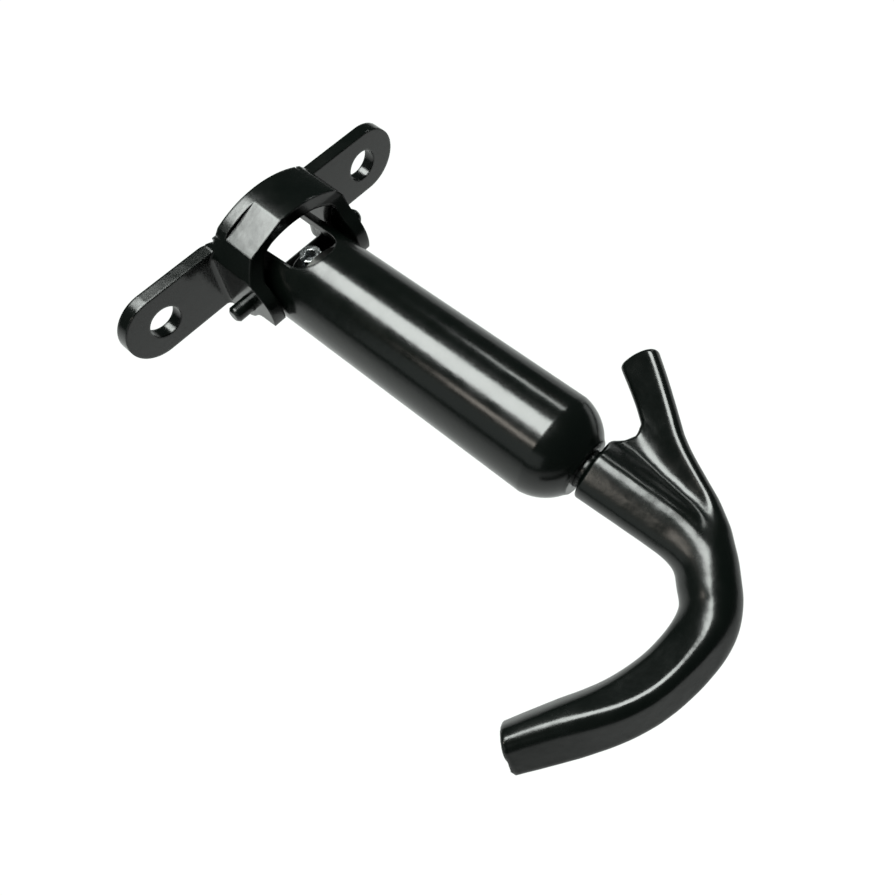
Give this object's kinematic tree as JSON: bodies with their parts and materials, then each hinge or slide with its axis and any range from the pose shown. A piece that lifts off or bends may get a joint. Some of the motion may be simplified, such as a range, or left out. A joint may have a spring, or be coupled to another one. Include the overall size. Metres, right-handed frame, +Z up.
{
  "type": "sprung pull hook",
  "caption": "Wall-mounted sprung holdback: a J hook with a thumb prong slides in a hinged round barrel on a stamped, eared bracket.",
  "frame": {"origin": "midway between the two bolt holes, on the back face that meets the wall", "axes": "+X out of the wall along the barrel, +Y along the two ears, +Z up, so the arch is over the barrel"},
  "size_m": [0.1131, 0.0769, 0.0241],
  "materials": {
    "black_paint": "gloss black enamel over steel",
    "bright_zinc": "bright zinc plate",
    "dark_steel": "blackened pressed steel, lightly oiled",
    "spring_steel": "drawn spring wire, lightly oiled"
  },
  "bodies": {
    "bracket": {"mounting_bracket": "black_paint", "pivot_pin": "black_paint"},
    "barrel": {"barrel": "black_paint", "nose_washer": "dark_steel", "return_spring": "spring_steel"},
    "slider": {"tail_washer": "dark_steel"},
    "hook": {"hook": "black_paint", "roll_pin": "bright_zinc"}
  },
  "joints": [
    {"name": "barrel_swing", "type": "hinge", "parent": "bracket", "child": "barrel", "pos_m": [0.0101, 0, -0.0012], "axis": [0, 1, 0], "range_deg": [-31, 88]},
    {"name": "hook_pull", "type": "slide", "parent": "barrel", "child": "slider", "axis": [0.9985, 0, 0.055], "range_m": [0, 0.016], "stiffness_N_per_m": 5500, "springref_m": -0.004, "deforming": ["return_spring"]},
    {"name": "hook_turn", "type": "hinge", "parent": "slider", "child": "hook", "pos_m": [0.0101, 0, -0.0012], "axis": [0.9985, 0, 0.055], "continuous": true}
  ]
}
